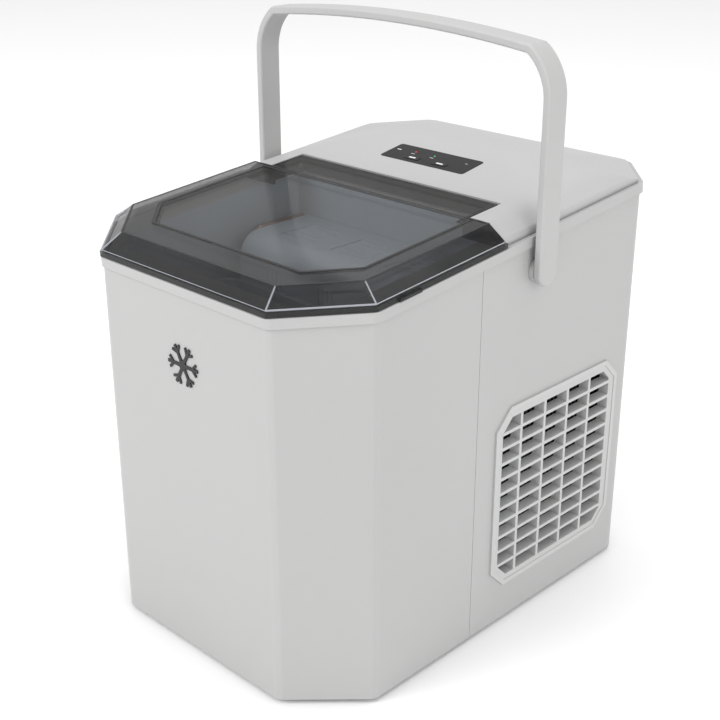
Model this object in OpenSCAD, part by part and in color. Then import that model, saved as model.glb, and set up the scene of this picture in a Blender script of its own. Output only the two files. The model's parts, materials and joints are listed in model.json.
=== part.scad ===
// Countertop bullet ice maker with a carry handle and a tinted front lid.
// Millimetres, +Z up, the front faces -Y and the right side faces +X.
// The origin is on the floor, under the middle of the footprint.

/* [Body] */
// Width of the body across its side walls
body_w = 222; // [200:1:250]
// Depth of the body from the front wall to the rear wall
body_d = 308; // [290:1:345]
// Height of the top rim at the front wall, above the bottom edge
rim_z = 238; // [225:1:285]
// Slope of the top, rising to the rear, in degrees
tilt = 4.9; // [3:0.1:6]
// Cut across the two front corners, along each wall
front_cut = 40; // [30:1:46]
// Cut across the two rear corners, along each wall
rear_cut = 29; // [24:1:34]
// Thickness of the outer walls
wall = 2.4; // [1.8:0.1:2.8]
// Height of the rubber feet under the body
foot_h = 3; // [2:0.5:5]
// Distance of the joint between the two shells from the front wall
seam_s = 125; // [110:1:135]

/* [Top] */
// Overhang of the rim beyond the walls
rim_out = 1.5; // [1:0.1:2]
// Height of the band that the rim forms round the walls
rim_band = 6; // [5:0.5:8]
// Height of the lid's flat top above the rim
lid_h = 12.3; // [11:0.1:14]
// Thickness of the lid's flange
flange_t = 3; // [2.4:0.1:4]
// Width of the lid's sloping border
lid_slope = 12; // [10:0.5:14]
// Thickness of the lid and cover mouldings
skin = 2.5; // [2:0.1:3]
// Half width of the lid's rear tongue
tongue_w = 83.2; // [76:0.1:84]
// Rear end of the cover's notch, from the front wall
notch_s = 174.5; // [172:0.5:178]
// Rear end of the lid's side wings, from the front wall
wing_s = 145.5; // [140:0.5:150]
// Gap between the lid and the cover
lid_gap = 1; // [0.8:0.1:1.4]
// Radius of the lid's hinge pins
pin_r = 2.5; // [2:0.1:2.8]
// Clearance of a turning pin in its bore, on the radius
run_fit = 0.05; // [0.03:0.01:0.08]

/* [Handle] */
// Height of the handle's top above its pivot
handle_h = 134.5; // [120:0.5:160]
// Width of the handle strap
strap_w = 16.5; // [14:0.5:20]
// Thickness of the handle strap
strap_t = 5.2; // [4.5:0.1:6]
// Gap between the handle and the side walls
handle_gap = 3.7; // [3:0.1:5]
// Height of the handle's pivot above the bottom edge
pivot_z = 231; // [222:1:236]
// Distance of the handle's pivot from the front wall
pivot_s = 173.8; // [168:0.2:180]
// Radius of the pivot pins
pivot_r = 4; // [3:0.1:5]

/* [Controls] */
// Width of the control strip
panel_w = 70; // [60:1:80]
// Depth of the control strip
panel_d = 22; // [18:0.5:24]
// Width of each button
button_w = 12; // [8:0.5:14]
// Travel of each button
button_travel = 0.6; // [0.4:0.1:1]

/* [Vents] */
// Length of each side grille
grille_l = 125; // [110:1:130]
// Height of each side grille
grille_h = 124; // [110:1:130]
// Spacing of the upright bars
bar_pitch = 23.3; // [18:0.1:26]
// Spacing of the slats
slat_pitch = 10.2; // [8:0.1:12]

/* [Cooling] */
// Radius of the nine freezing fingers
finger_r = 4.5; // [3.5:0.1:5]
// Length of the freezing fingers
finger_l = 39; // [30:1:41]
// Radius of the fan
fan_r = 41; // [36:1:42]
// Radius of the compressor's shell
comp_r = 42; // [36:1:44]
// Height of the compressor's shell
comp_h = 118; // [100:1:130]

/* [Hidden] */
$fn = 64;
eps = 0.01;
root2 = sqrt(2);
hw = body_w / 2;
hd = body_d / 2;
kt = 1 / cos(tilt);
z0 = foot_h;                       // bottom edge of the body
zr = foot_h + rim_z;               // rim plane at the front wall
gap = 0.3;                         // between neighbours that do not touch

// ---- frames and outlines ----

// The sloping top's own frame: x, distance s along the slope from the front, height v above the rim.
module on_top() {
    translate([0, -hd, zr]) rotate([tilt, 0, 0]) children();
}

// Height of the rim plane over a place s behind the front wall.
function rim_at(s) = zr + s * tan(tilt);

// An octagon with its two front and two rear corners cut.
function octagon(w, s0, s1, cf, cr) = [[-w, s0 + cf], [-w + cf, s0], [w - cf, s0], [w, s0 + cf],
    [w, s1 - cr], [w - cr, s1], [-w + cr, s1], [-w, s1 - cr]];

// The body's plan, grown outwards by o.
function plan(o) = octagon(hw + o, -hd - o, hd + o, front_cut + o * (2 - root2),
    rear_cut + o * (2 - root2));

// The same outline in the sloping frame.
function top_plan(o) = [for (p = plan(o)) [p[0], (p[1] + hd) * kt]];

module prism(z_low, z_high, o) {
    translate([0, 0, z_low]) linear_extrude(z_high - z_low) polygon(plan(o));
}

module top_prism(v_low, v_high, o) {
    translate([0, 0, v_low]) linear_extrude(v_high - v_low) polygon(top_plan(o));
}

// A box given by its low and high corners.
module box(a, b) {
    translate(a) cube([b[0] - a[0], b[1] - a[1], b[2] - a[2]]);
}

// A rounded rectangle from corner a to corner b.
module round_rect(a, b, r) {
    translate([a[0] + r, a[1]]) square([b[0] - a[0] - 2 * r, b[1] - a[1]]);
    translate([a[0], a[1] + r]) square([b[0] - a[0], b[1] - a[1] - 2 * r]);
    for (x = [a[0] + r, b[0] - r], y = [a[1] + r, b[1] - r])
        translate([x, y]) circle(r);
}

module round_box(a, b, r) {
    translate([0, 0, a[2]]) linear_extrude(b[2] - a[2]) round_rect(a, b, r);
}

// A cylinder along X from x0 to x1, centred on y and z.
module rod_x(x0, x1, y, z, r) {
    translate([x0, y, z]) rotate([0, 90, 0]) cylinder(h = x1 - x0, r = r);
}

module rod_y(y0, y1, x, z, r) {
    translate([x, y0, z]) rotate([-90, 0, 0]) cylinder(h = y1 - y0, r = r);
}

// A tube that follows straight runs through the points given, with a fuller elbow at each.
module pipe_run(points, r) {
    for (i = [0 : len(points) - 2]) {
        a = points[i];
        d = points[i + 1] - a;
        l = norm(d);
        translate(a) rotate([0, acos(d[2] / l), atan2(d[1], d[0])]) cylinder(h = l, r = r);
    }
    for (i = [1 : 1 : len(points) - 2])
        translate(points[i]) sphere(r + 0.25);
}

// ---- base ----

foot_x = hw - 38;
foot_y = hd - 42;
foot_stem = 3;
screw_x = 50;
screw_y = hd - wall - 4;
screw_r = 2;
pan_t = 2.5;

module at_feet() {
    for (sx = [-1, 1], sy = [-1, 1]) translate([sx * foot_x, sy * foot_y, 0]) children();
}

module at_screws() {
    for (sx = [-1, 1], sy = [-1, 1]) translate([sx * screw_x, sy * screw_y, 0]) children();
}

module base_pan() {
    color("gainsboro") difference() {
        union() {
            prism(z0, z0 + pan_t, -wall - gap);
            difference() {
                prism(z0 + pan_t - eps, z0 + 12, -wall - gap);
                prism(z0, z0 + 13, -wall - gap - 2);
                at_screws() cylinder(h = 40, r = 7);
            }
        }
        at_feet() translate([0, 0, -1]) cylinder(h = 20, r = foot_stem + run_fit);
        at_screws() translate([0, 0, -1]) cylinder(h = 20, r = screw_r + run_fit);
        for (i = [-3 : 3])
            round_box([-40, 60 + i * 9, z0 - 1], [40, 64 + i * 9, z0 + 5], 1.9);
    }
}

module rubber_feet() {
    color("dimgray") at_feet() {
        cylinder(h = z0 - 0.02, r = 9);
        cylinder(h = z0 + pan_t, r = foot_stem);
        translate([0, 0, z0 + pan_t + 0.05]) cylinder(h = 2, r = foot_stem + 1.2);
        translate([0, 0, z0 + pan_t - eps]) cylinder(h = 1, r = foot_stem);
    }
}

module base_screws() {
    color("silver") at_screws() difference() {
        union() {
            translate([0, 0, z0 - 1.8]) cylinder(h = 1.75, r = 3.6);
            translate([0, 0, z0 - 1]) cylinder(h = 15, r = screw_r);
        }
        translate([0, 0, z0 - 2]) for (a = [0, 90]) rotate(a) box([-2.2, -0.4, 0], [2.2, 0.4, 0.9]);
    }
}

// ---- outer shells ----

shell_top = -1.8;                  // the walls end this far under the rim plane
grille_s0 = 142.5;
grille_z0 = z0 + 25;
grille_cut = 13;
grille_land = 4;
pivot_y = pivot_s - hd;
pivot_zz = z0 + pivot_z;
gland_x = 66;
gland_z = z0 + 34;
gland_r = 9;
drain_s = 62;
drain_z = z0 + 30;
drain_r = 8;

module grille_plan(o) {
    a = [grille_s0 - hd - o, grille_z0 - o];
    b = [grille_s0 - hd + grille_l + o, grille_z0 + grille_h + o];
    c = grille_cut + o * (2 - root2);
    polygon([[a[0] + c, a[1]], [b[0] - c, a[1]], [b[0], a[1] + c], [b[0], b[1] - c],
        [b[0] - c, b[1]], [a[0] + c, b[1]], [a[0], b[1] - c], [a[0], a[1] + c]]);
}

// The grille's outline, drawn in y and z, carried from x0 to x1.
module grille_slab(x0, x1, o) {
    translate([x0, 0, 0]) rotate([90, 0, 90]) linear_extrude(x1 - x0) grille_plan(o);
}

module walls() {
    difference() {
        prism(z0, zr + 60, 0);
        prism(z0 - 1, zr + 61, -wall);
        on_top() translate([-200, -50, shell_top]) cube([400, 500, 200]);
    }
    at_screws() difference() {
        translate([0, 0, z0 + pan_t + 0.05]) cylinder(h = 18, r = 5);
        translate([0, 0, z0]) cylinder(h = 14.6, r = screw_r + run_fit);
    }
}

module front_shell() {
    color("whitesmoke") difference() {
        intersection() {
            walls();
            box([-200, -hd - 5, 0], [200, seam_s - hd - 0.15, 400]);
        }
        rod_x(-hw - 5, -hw + 10, drain_s - hd, drain_z, drain_r + 0.1);
    }
}

module rear_shell() {
    color("whitesmoke") difference() {
        intersection() {
            walls();
            box([-200, seam_s - hd + 0.15, 0], [200, hd + 5, 400]);
        }
        grille_slab(-hw - 5, -hw + 10, -grille_land);
        grille_slab(hw - 10, hw + 5, -grille_land);
        rod_x(-hw - 5, hw + 5, pivot_y, pivot_zz, pivot_r + 0.02);
        rod_y(hd - 10, hd + 5, gland_x, gland_z, gland_r + 0.1);
        for (i = [-5 : 5])
            box([i * 9 - 1.7, hd - 5, z0 + 120], [i * 9 + 1.7, hd + 5, z0 + 165]);
    }
}

module front_emblem() {
    // A plain six-armed crystal badge.
    color("silver") translate([0, -hd, z0 + rim_z * 0.80]) rotate([90, 0, 0])
        translate([0, 0, 0.02]) linear_extrude(0.8) {
            for (a = [0, 60, 120]) rotate(a) square([26, 2], center = true);
            for (a = [0 : 60 : 300]) rotate(a) translate([8, 0])
                for (b = [-45, 45]) rotate(b) translate([2.5, 0]) square([5, 1.6], center = true);
            circle(3);
        }
}

// ---- rim ----

tub_w = 92;
tub_s0 = 17;
tub_s1 = 171;
tub_wall = 2;
tub_cut = 22;                      // its front corners follow the body's
tub_rear = 5;
rim_t = 1.5;

// The tub's plan, grown outwards by o, from the front wall at s = 0.
function tub_plan(o) = octagon(tub_w + o, tub_s0 - o, tub_s1 + o, tub_cut + o * (2 - root2),
    tub_rear + o * (2 - root2));

// Carries a plan in x and s upright between two heights.
module upright(z_low, z_high, points) {
    translate([0, -hd, z_low]) linear_extrude(z_high - z_low) polygon(points);
}

module rim_frame() {
    color("white") on_top() difference() {
        union() {
            top_prism(-rim_t, 0, rim_out);
            difference() {
                top_prism(-rim_band, -rim_t + eps, rim_out);
                top_prism(-rim_band - 1, 0, 0.5);
            }
        }
        translate([0, 0, -20]) linear_extrude(40) polygon(tub_plan(-0.3));
        round_box([-88, tub_s1 + 12, -20], [88, body_d - 14, 20], 10);
    }
}

module tub_flange() {
    on_top() translate([0, 0, shell_top - 2.2]) linear_extrude(2.1 - rim_t - shell_top)
        polygon(tub_plan(7));
}

// ---- lid ----

hinge_s = 166;
hinge_v = 7.5;
win_w = 86;
win_s = 33.7;
win_cut = 24;
lid_edge = rim_out - 0.5;          // the flange ends this far outside the walls
tab_s0 = 55;
tab_l = 17;

// Outline of the flange's front part.
function lid_plan(o) = nose(hw + lid_edge + o, -lid_edge - o, wing_s,
    front_cut + (lid_edge + o) * (2 - root2));

// A plan with its two front corners cut and its rear corners square.
function nose(w, s0, s1, c) = [[-w, s1], [-w, s0 + c], [-w + c, s0], [w - c, s0], [w, s0 + c],
    [w, s1]];

// The slope across the lid's right front corner, carried along the corner cut.
module lid_corner(e, base, low, top) {
    diag = (hw - front_cut) / root2 + lid_edge - 1.2 - e;
    rotate([90, 0, -45]) translate([0, 0, -400]) linear_extrude(800)
        polygon([[-400, base], [diag, base], [diag, low], [diag - lid_slope, top], [-400, top]]);
}

// The lid's bulk above the flange, shrunk inwards by e: four extruded profiles cut each other.
module lid_bulk(e) {
    w0 = hw + lid_edge - 1.2 - e;
    w1 = w0 - lid_slope;
    base = e > 0 ? -1 : gap;
    low = gap + flange_t - 0.3;
    top = lid_h - e;
    rear = wing_s - e;
    intersection() {
        rotate([90, 0, 0]) translate([0, 0, -rear]) linear_extrude(rear + 20)
            polygon([[-w0, base], [w0, base], [w0, low], [w1, top], [-w1, top], [-w0, low]]);
        rotate([90, 0, 90]) translate([0, 0, -200]) linear_extrude(400)
            polygon([[0.2 + e, base], [0.2 + e, low], [0.2 + e + lid_slope, top], [rear, top],
                [rear, base]]);
        lid_corner(e, base, low, top);
        mirror([1, 0, 0]) lid_corner(e, base, low, top);
    }
}

module tongue(e) {
    box([-tongue_w + e, wing_s - 20, 2.5 - (e > 0 ? 1 : 0)],
        [tongue_w - e, notch_s - 2 - e, lid_h - e]);
}

module window_plan(o) {
    w = win_w + o;
    s = win_s - o;
    c = win_cut;
    t = tongue_w - 3 + o;
    polygon([[-w, s + c], [-w + c, s], [w - c, s], [w, s + c], [w, wing_s - 4 + o],
        [t, wing_s - 4 + o], [t, notch_s - 5 + o], [-t, notch_s - 5 + o], [-t, wing_s - 4 + o],
        [-w, wing_s - 4 + o]]);
}

module lid_shell() {
    color([0.35, 0.35, 0.36, 0.6]) on_top() difference() {
        union() {
            difference() {
                union() {
                    translate([0, 0, gap]) linear_extrude(flange_t) polygon(lid_plan(0));
                    lid_bulk(0);
                    tongue(0);
                }
                lid_bulk(skin);
                tongue(skin);
                box([-tongue_w + skin, wing_s - 10, -10], [tongue_w - skin, wing_s + 4, lid_h - skin]);
            }
            for (m = [0, 1]) mirror([m, 0, 0]) {
                box([hw + lid_edge - 2, tab_s0, gap], [hw + lid_edge + 1.6, tab_s0 + tab_l, gap + 2]);
                box([tongue_w - 5, hinge_s - 5, 3], [tongue_w - 1, hinge_s + 5, lid_h - skin + 0.1]);
            }
        }
        translate([0, 0, lid_h - 1.3]) linear_extrude(10) window_plan(1.6);
        translate([0, 0, lid_h - skin - 0.2]) linear_extrude(10) window_plan(-1.2);
        rod_x(-hw, hw, hinge_s, hinge_v, pin_r + 0.02);
    }
}

module lid_window() {
    color([0.4, 0.4, 0.42, 0.5]) on_top() {
        translate([0, 0, lid_h - 1.25]) linear_extrude(1.25) window_plan(1.4);
        translate([0, 0, lid_h - 2.4]) linear_extrude(1.2) window_plan(-1.4);
    }
}

module hinge_pins() {
    color("silver") on_top() for (m = [0, 1]) mirror([m, 0, 0])
        rod_x(tongue_w - 3.8, tongue_w + lid_gap + 5, hinge_s, hinge_v, pin_r);
}

// ---- cover ----

cover_in = 2;
panel_s = 197.5;
panel_rise = 4.4;
panel_t = 1.8;

// The cover's bulk: side profile, cross profile and plan cut each other; e shrinks it.
module cover_bulk(e) {
    w = hw - cover_in - e;
    s1 = body_d * kt - cover_in - e;
    rise = tan(panel_rise);
    crest = panel_s + panel_d + 20;
    intersection() {
        top_prism(0.05 - (e > 0 ? 1 : 0), 40, -cover_in - e);
        rotate([90, 0, 90]) translate([0, 0, -w]) linear_extrude(2 * w)
            polygon([[wing_s + 0.8 + e, -1], [wing_s + 0.8 + e, lid_h - e],
                [notch_s, lid_h - e], [crest, lid_h + (crest - notch_s) * rise - e],
                [crest + 34, lid_h + 1 - e], [s1 - 15, 8 - e], [s1 - 3, 3.5 - e], [s1, 2 - e],
                [s1, -1]]);
        rotate([90, 0, 0]) translate([0, 0, -s1]) linear_extrude(s1)
            polygon([[-w, -1], [-w, 4.5 - e], [-w + 10, 10.3 - e], [-w + 24, lid_h + 0.5 - e],
                [-w + 50, lid_h + 5 - e], [w - 50, lid_h + 5 - e], [w - 24, lid_h + 0.5 - e],
                [w - 10, 10.3 - e], [w, 4.5 - e], [w, -1]]);
    }
}

module notch_cut(e) {
    box([-tongue_w - lid_gap - e, 0, -20], [tongue_w + lid_gap + e, notch_s + e, 60]);
}

// The frame of the control strip: s and v on the cover's own rise.
module on_panel() {
    on_top() translate([0, notch_s, lid_h]) rotate([panel_rise, 0, 0])
        translate([0, panel_s - notch_s, 0]) children();
}

module top_cover() {
    color("whitesmoke") difference() {
        on_top() union() {
            difference() {
                cover_bulk(0);
                notch_cut(0);
                difference() {
                    cover_bulk(skin);
                    notch_cut(skin);
                }
            }
            for (m = [0, 1]) mirror([m, 0, 0])
                box([tongue_w + lid_gap, hinge_s - 6, 2], [tongue_w + lid_gap + 8, hinge_s + 6, lid_h - 1]);
        }
        on_top() rod_x(-tongue_w - lid_gap - 6, tongue_w + lid_gap + 6, hinge_s, hinge_v,
            pin_r + run_fit);
        on_panel() round_box([-panel_w / 2 - 0.15, -0.15, -panel_t - 0.1],
            [panel_w / 2 + 0.15, panel_d + 0.15, 5], 2);
        on_panel() round_box([-panel_w / 2 + 3, 3, -10], [panel_w / 2 - 3, panel_d - 3, 5], 2);
    }
}

button_x = 11.5;
button_s = 5.8;
button_d = 5;
led_s = 14.5;
led_r = 1.3;
led_x = [-16, 0];

module control_panel() {
    color("black") on_panel() difference() {
        round_box([-panel_w / 2, 0, -panel_t], [panel_w / 2, panel_d, 0], 2);
        for (sx = [-1, 1])
            round_box([sx * button_x - button_w / 2 - gap, button_s - button_d / 2 - gap, -5],
                [sx * button_x + button_w / 2 + gap, button_s + button_d / 2 + gap, 5], 1);
        for (x = led_x) translate([x, led_s, -5]) cylinder(h = 10, r = led_r + 0.05);
    }
}

module button(x) {
    on_panel() {
        round_box([x - button_w / 2, button_s - button_d / 2, -panel_t - 1],
            [x + button_w / 2, button_s + button_d / 2, 0.35], 1);
        round_box([x - button_w / 2 - 1, button_s - button_d / 2, -panel_t - 2.2],
            [x + button_w / 2 + 1, button_s + button_d / 2 + 0.4, -panel_t - 0.4], 1);
        translate([x, button_s, -panel_t - 4]) cylinder(h = 2.5, r = 1.6);
    }
}

module power_button() { color("white") button(-button_x); }

module select_button() { color("white") button(button_x); }

module led(x) {
    on_panel() translate([x, led_s, -panel_t - 5]) cylinder(h = panel_t + 4.9, r = led_r);
}

module led_red() { color("red") led(led_x[0]); }

module led_green() { color("lime") led(led_x[1]); }

module display_board() {
    color("seagreen") on_panel() {
        round_box([-panel_w / 2 + 4, 3.5, -panel_t - 8.6], [panel_w / 2 - 4, panel_d - 3.5, -panel_t - 7], 1);
        for (sx = [-1, 1]) {
            box([sx * button_x - 3, button_s - 2.2, -panel_t - 7.05],
                [sx * button_x + 3, button_s + 3.8, -panel_t - 5.5]);
        }
        box([20, 8, -panel_t - 7.05], [28, 14, -panel_t - 5]);
        for (x = led_x) translate([x, led_s, -panel_t - 7.05]) cylinder(h = 2, r = led_r);
    }
}

// ---- handle ----

handle_x = hw + handle_gap + strap_t;
handle_top = pivot_zz + handle_h;
corner_r = 36;
crown_r = 900;

// Half of the arch's outline, shrunk inwards by e.
module arch_plan(e) {
    w = handle_x - e;
    top = handle_top - e;
    r = corner_r - e;
    intersection() {
        union() {
            translate([-w, pivot_zz]) square([2 * w, handle_h - corner_r]);
            translate([-w + r, pivot_zz]) square([2 * (w - r), top - pivot_zz]);
            for (sx = [-1, 1]) translate([sx * (w - r), top - r]) circle(r);
        }
        translate([0, top - crown_r + e]) circle(crown_r - e, $fn = 360);
    }
}

module handle() {
    color("gainsboro") difference() {
        union() {
            translate([0, pivot_y + strap_w / 2, 0]) rotate([90, 0, 0]) linear_extrude(strap_w)
                difference() {
                    arch_plan(0);
                    arch_plan(strap_t);
                }
            for (m = [0, 1]) mirror([m, 0, 0])
                rod_x(handle_x - strap_t, handle_x, pivot_y, pivot_zz, strap_w / 2);
        }
        rod_x(-handle_x + 2, handle_x - 2, pivot_y, pivot_zz, pivot_r + run_fit);
    }
}

module handle_pivots() {
    color("whitesmoke") for (m = [0, 1]) mirror([m, 0, 0]) {
        rod_x(hw - wall - 6, handle_x - 2.3, pivot_y, pivot_zz, pivot_r);
        rod_x(hw + 0.05, hw + handle_gap - gap, pivot_y, pivot_zz, strap_w / 2 - 0.8);
        rod_x(hw - wall - 6, hw - wall - 0.05, pivot_y, pivot_zz, strap_w / 2 - 0.8);
    }
}

// ---- tub and basket ----

tub_z0 = z0 + 67;
ledge_z = z0 + 112;
axis_s = 139;
axis_z = z0 + 179;
shaft_r = 4;

pipe_z = z0 + 212.8;                 // level of the tubes behind the tub
pipe_x = -84;
hose_x = -44;

module inner_tub() {
    color("lightsteelblue") difference() {
        union() {
            intersection() {
                upright(tub_z0, zr + 60, tub_plan(tub_wall));
                on_top() box([-200, -50, -250], [200, 400, -rim_t - 0.1]);
            }
            tub_flange();
        }
        difference() {
            upright(tub_z0 + tub_wall, zr + 80, tub_plan(0));
            for (m = [0, 1]) mirror([m, 0, 0])
                box([tub_w - 6, tub_s0 - hd - 1, ledge_z - 4], [tub_w + 1, 108 - hd, ledge_z]);
        }
        rod_x(-hw, hw, axis_s - hd, axis_z, shaft_r + run_fit);
        translate([hose_x, pump_s - hd, tub_z0 - 5]) cylinder(h = 20, r = 5.2);
        translate([-84, drain_s - hd, tub_z0 - 5]) cylinder(h = 20, r = 5.2);
        for (sx = [-1, 1]) rod_x(sx * tub_w - 5, sx * tub_w + 5, sensor_s - hd, sensor_z, 3.05);
        for (z = [pipe_z, pipe_z + 9]) rod_y(tub_s1 - 1 - hd, tub_s1 + 5 - hd, pipe_x, z, 3.1);
        rod_y(tub_s1 - 1 - hd, tub_s1 + 5 - hd, hose_x, pipe_z + 1, 3.7);
    }
}

sensor_s = 50;
sensor_z = z0 + 205;

module insulation() {
    color("khaki") difference() {
        intersection() {
            upright(tub_z0 + 6, zr - 10, tub_plan(9.5));
            box([-200, -200, 0], [200, 108 - hd, 400]);
        }
        upright(tub_z0, zr, tub_plan(tub_wall + gap));
        for (sx = [-1, 1]) rod_x(sx * (tub_w + 8) - 9, sx * (tub_w + 8) + 9, sensor_s - hd, sensor_z, 6);
    }
}

basket_w = 84;
basket_s0 = 22;
basket_s1 = 106;
basket_z1 = z0 + 196;

function basket_plan(o) = octagon(basket_w + o, basket_s0 - o, basket_s1 + o, 20 + o * (2 - root2),
    8 + o * (2 - root2));

module ice_basket() {
    y = (basket_s0 + basket_s1) / 2 - hd;
    color("aliceblue") difference() {
        union() {
            upright(ledge_z + gap, basket_z1, basket_plan(0));
            upright(basket_z1 - 3, basket_z1, basket_plan(3));
            for (m = [0, 1]) mirror([m, 0, 0])
                box([basket_w - 1, basket_s0 + 22 - hd, ledge_z + gap],
                    [basket_w + 4.5, basket_s1 - 20 - hd, ledge_z + 5]);
        }
        upright(ledge_z + 2.3, basket_z1 + 5, basket_plan(-2));
        for (ix = [-4 : 4], iy = [-2 : 2])
            round_box([ix * 16 - 5.5, y + iy * 14 - 1.8, ledge_z - 5],
                [ix * 16 + 5.5, y + iy * 14 + 1.8, ledge_z + 8], 1.7);
    }
}

// ---- ice making ----

bar_z = axis_z + 21;
tray_r = 22;
tray_w = 74;

module at_fingers() {
    for (i = [-2 : 2]) translate([i * 28, axis_s - hd - 8.5, 0]) children();
    for (i = [-1.5 : 1.5]) translate([i * 28, axis_s - hd + 8.5, 0]) children();
}

module evaporator() {
    color("silver") {
        round_box([-66, axis_s - 14 - hd, bar_z], [66, axis_s + 14 - hd, bar_z + 9], 6);
        at_fingers() {
            translate([0, 0, bar_z - finger_l + finger_r]) cylinder(h = finger_l, r = finger_r);
            translate([0, 0, bar_z - finger_l + finger_r]) sphere(finger_r);
        }
        for (dy = [-6, 6]) rod_x(-70, 70, axis_s + dy - hd, pipe_z, 4);
        translate([70, axis_s - hd, pipe_z]) rotate([0, 0, -90]) intersection() {
            rotate_extrude() translate([6, 0]) circle(4);
            box([-20, 0, -5], [20, 20, 5]);
        }
    }
}

module water_tray() {
    color("white") translate([0, axis_s - hd, axis_z]) difference() {
        union() {
            rotate([90, 0, 90]) translate([0, 0, -tray_w - 2]) linear_extrude(2 * tray_w + 4)
                intersection() {
                    circle(tray_r + 2);
                    translate([-40, -40]) square([80, 34]);
                }
            for (m = [0, 1]) mirror([m, 0, 0]) {
                rod_x(tray_w, tray_w + 2, 0, 0, 9);
                rod_x(tray_w + 1, tub_w - 10.5, 0, 0, 6);
            }
            rod_x(-tub_w - 3, -tray_w - 1, 0, 0, shaft_r);
            rod_x(tray_w + 1, tub_w + 8, 0, 0, shaft_r);
        }
        rod_x(-tray_w, tray_w, 0, 0, tray_r);
    }
}

blade_a = -8;
blade_r = 27.6;

module ice_pusher() {
    color("whitesmoke") translate([0, axis_s - hd, axis_z]) {
        rotate([blade_a, 0, 0]) difference() {
            box([-88.3, blade_r - 3, -1.5], [88.3, blade_r, 10]);
            for (i = [-5.5 : 5.5]) box([i * 14 - 4, blade_r - 5, 3], [i * 14 + 4, blade_r + 5, 12]);
        }
        for (m = [0, 1]) mirror([m, 0, 0]) rotate([90 + blade_a, 0, 90]) translate([0, 0, 85.2])
            linear_extrude(3) difference() {
                union() {
                    circle(8);
                    translate([0, -4.5]) square([blade_r - 0.6, 9]);
                }
                circle(shaft_r + run_fit);
            }
    }
}

// Side profile of the cover over the fingers, shrunk inwards by e.
module hood_plan(e) {
    r = 16;
    y0 = 110 - hd + e;
    y1 = tub_s1 - 0.3 - hd;
    z1 = bar_z + 25 - e;
    translate([y0 + r, bar_z - 8]) square([y1 - y0 - r, z1 - bar_z + 8]);
    translate([y0, bar_z - 8]) square([y1 - y0, z1 - r - bar_z + 8]);
    translate([y0 + r, z1 - r]) circle(r);
}

module evaporator_cover() {
    color("lightsteelblue") difference() {
        union() {
            translate([-78, 0, 0]) rotate([90, 0, 90]) linear_extrude(156) difference() {
                hood_plan(0);
                translate([0, -1]) hood_plan(2);
                translate([tub_s1 - 12 - hd, bar_z - 20]) square([20, 40]);
            }
        }
        for (i = [-1 : 1]) box([i * 46 - 14, 128 - hd, bar_z + 24.2], [i * 46 + 14, 156 - hd, bar_z + 30]);
    }
    color("lightsteelblue") for (i = [-1 : 1], j = [0 : 3])
        box([i * 46 - 13, 131 + j * 6.5 - hd, bar_z + 24], [i * 46 + 13, 133 + j * 6.5 - hd, bar_z + 24.9]);
}

module gear_motor() {
    color("goldenrod") difference() {
        union() {
            rod_x(tub_w + tub_wall + 0.2, hw - wall - 0.6, axis_s - hd, axis_z, 20);
            box([tub_w + tub_wall + 0.2, axis_s - hd - 29, axis_z - 5],
                [tub_w + tub_wall + 2.2, axis_s - hd + 29, axis_z + 5]);
        }
        rod_x(tub_w - 3, tub_w + 9, axis_s - hd, axis_z, shaft_r + run_fit);
    }
}

module ice_sensors() {
    color("black") for (m = [0, 1]) mirror([m, 0, 0]) {
        rod_x(tub_w - 2.5, tub_w + 7, sensor_s - hd, sensor_z, 3);
        rod_x(tub_w - 3, tub_w - 0.05, sensor_s - hd, sensor_z, 4);
    }
}

// ---- water ----

pump_s = 60;

module water_pump() {
    color("darkgray") {
        translate([hose_x, pump_s - hd, z0 + 14]) cylinder(h = 32, r = 17);
        translate([hose_x, pump_s - hd, z0 + 46 - eps]) cylinder(h = 8, r = 21);
        translate([hose_x, pump_s - hd, z0 + 54 - eps]) cylinder(h = 17, r = 5);
        rod_y(pump_s - hd, pump_s - hd + 30, hose_x, z0 + 50, 3.5);
        translate([hose_x, pump_s - hd, z0 + pan_t + 0.1]) cylinder(h = 12, r = 8);
    }
}

module pump_hose() {
    y = tub_s1 + 6.5 - hd;
    color("lightgray") pipe_run([[hose_x, pump_s - hd + 30.2, z0 + 50], [hose_x, y, z0 + 50],
        [hose_x, y, pipe_z + 1], [hose_x, tub_s1 - 13 - hd, pipe_z + 1]], 3.6);
}

module drain_fitting() {
    color("whitesmoke") difference() {
        union() {
            rod_x(-hw - 1, -84, drain_s - hd, drain_z, drain_r);
            rod_x(-hw + wall + 0.1, -hw + wall + 2.5, drain_s - hd, drain_z, drain_r + 4);
            translate([-84, drain_s - hd, drain_z]) sphere(drain_r);
            translate([-84, drain_s - hd, drain_z]) cylinder(h = tub_z0 - 0.2 - drain_z, r = drain_r);
            translate([-84, drain_s - hd, drain_z]) cylinder(h = tub_z0 + 1.5 - drain_z, r = 5);
        }
        rod_x(-hw - 5, -84, drain_s - hd, drain_z, 5.5);
        translate([-84, drain_s - hd, drain_z]) cylinder(h = 60, r = 3.5);
    }
}

module drain_cap() {
    color("dimgray") difference() {
        union() {
            rod_x(-hw - 7, -hw - 1.4, drain_s - hd, drain_z, drain_r + 2);
            rod_x(-hw - 2, -hw + 12, drain_s - hd, drain_z, 5.5 - run_fit);
        }
        for (a = [0 : 30 : 330]) translate([-hw - 8, drain_s - hd, drain_z]) rotate([a, 0, 0])
            translate([0, drain_r + 2.3, 0]) rotate([0, 90, 0]) cylinder(h = 7, r = 1.2, $fn = 24);
    }
}

// ---- cooling unit ----

comp_x = -48;
comp_s = 236;
cond_x = 84;
fan_s = 230;
cond_s0 = 186;
cond_s1 = 274;
fan_z = z0 + 87;

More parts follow.
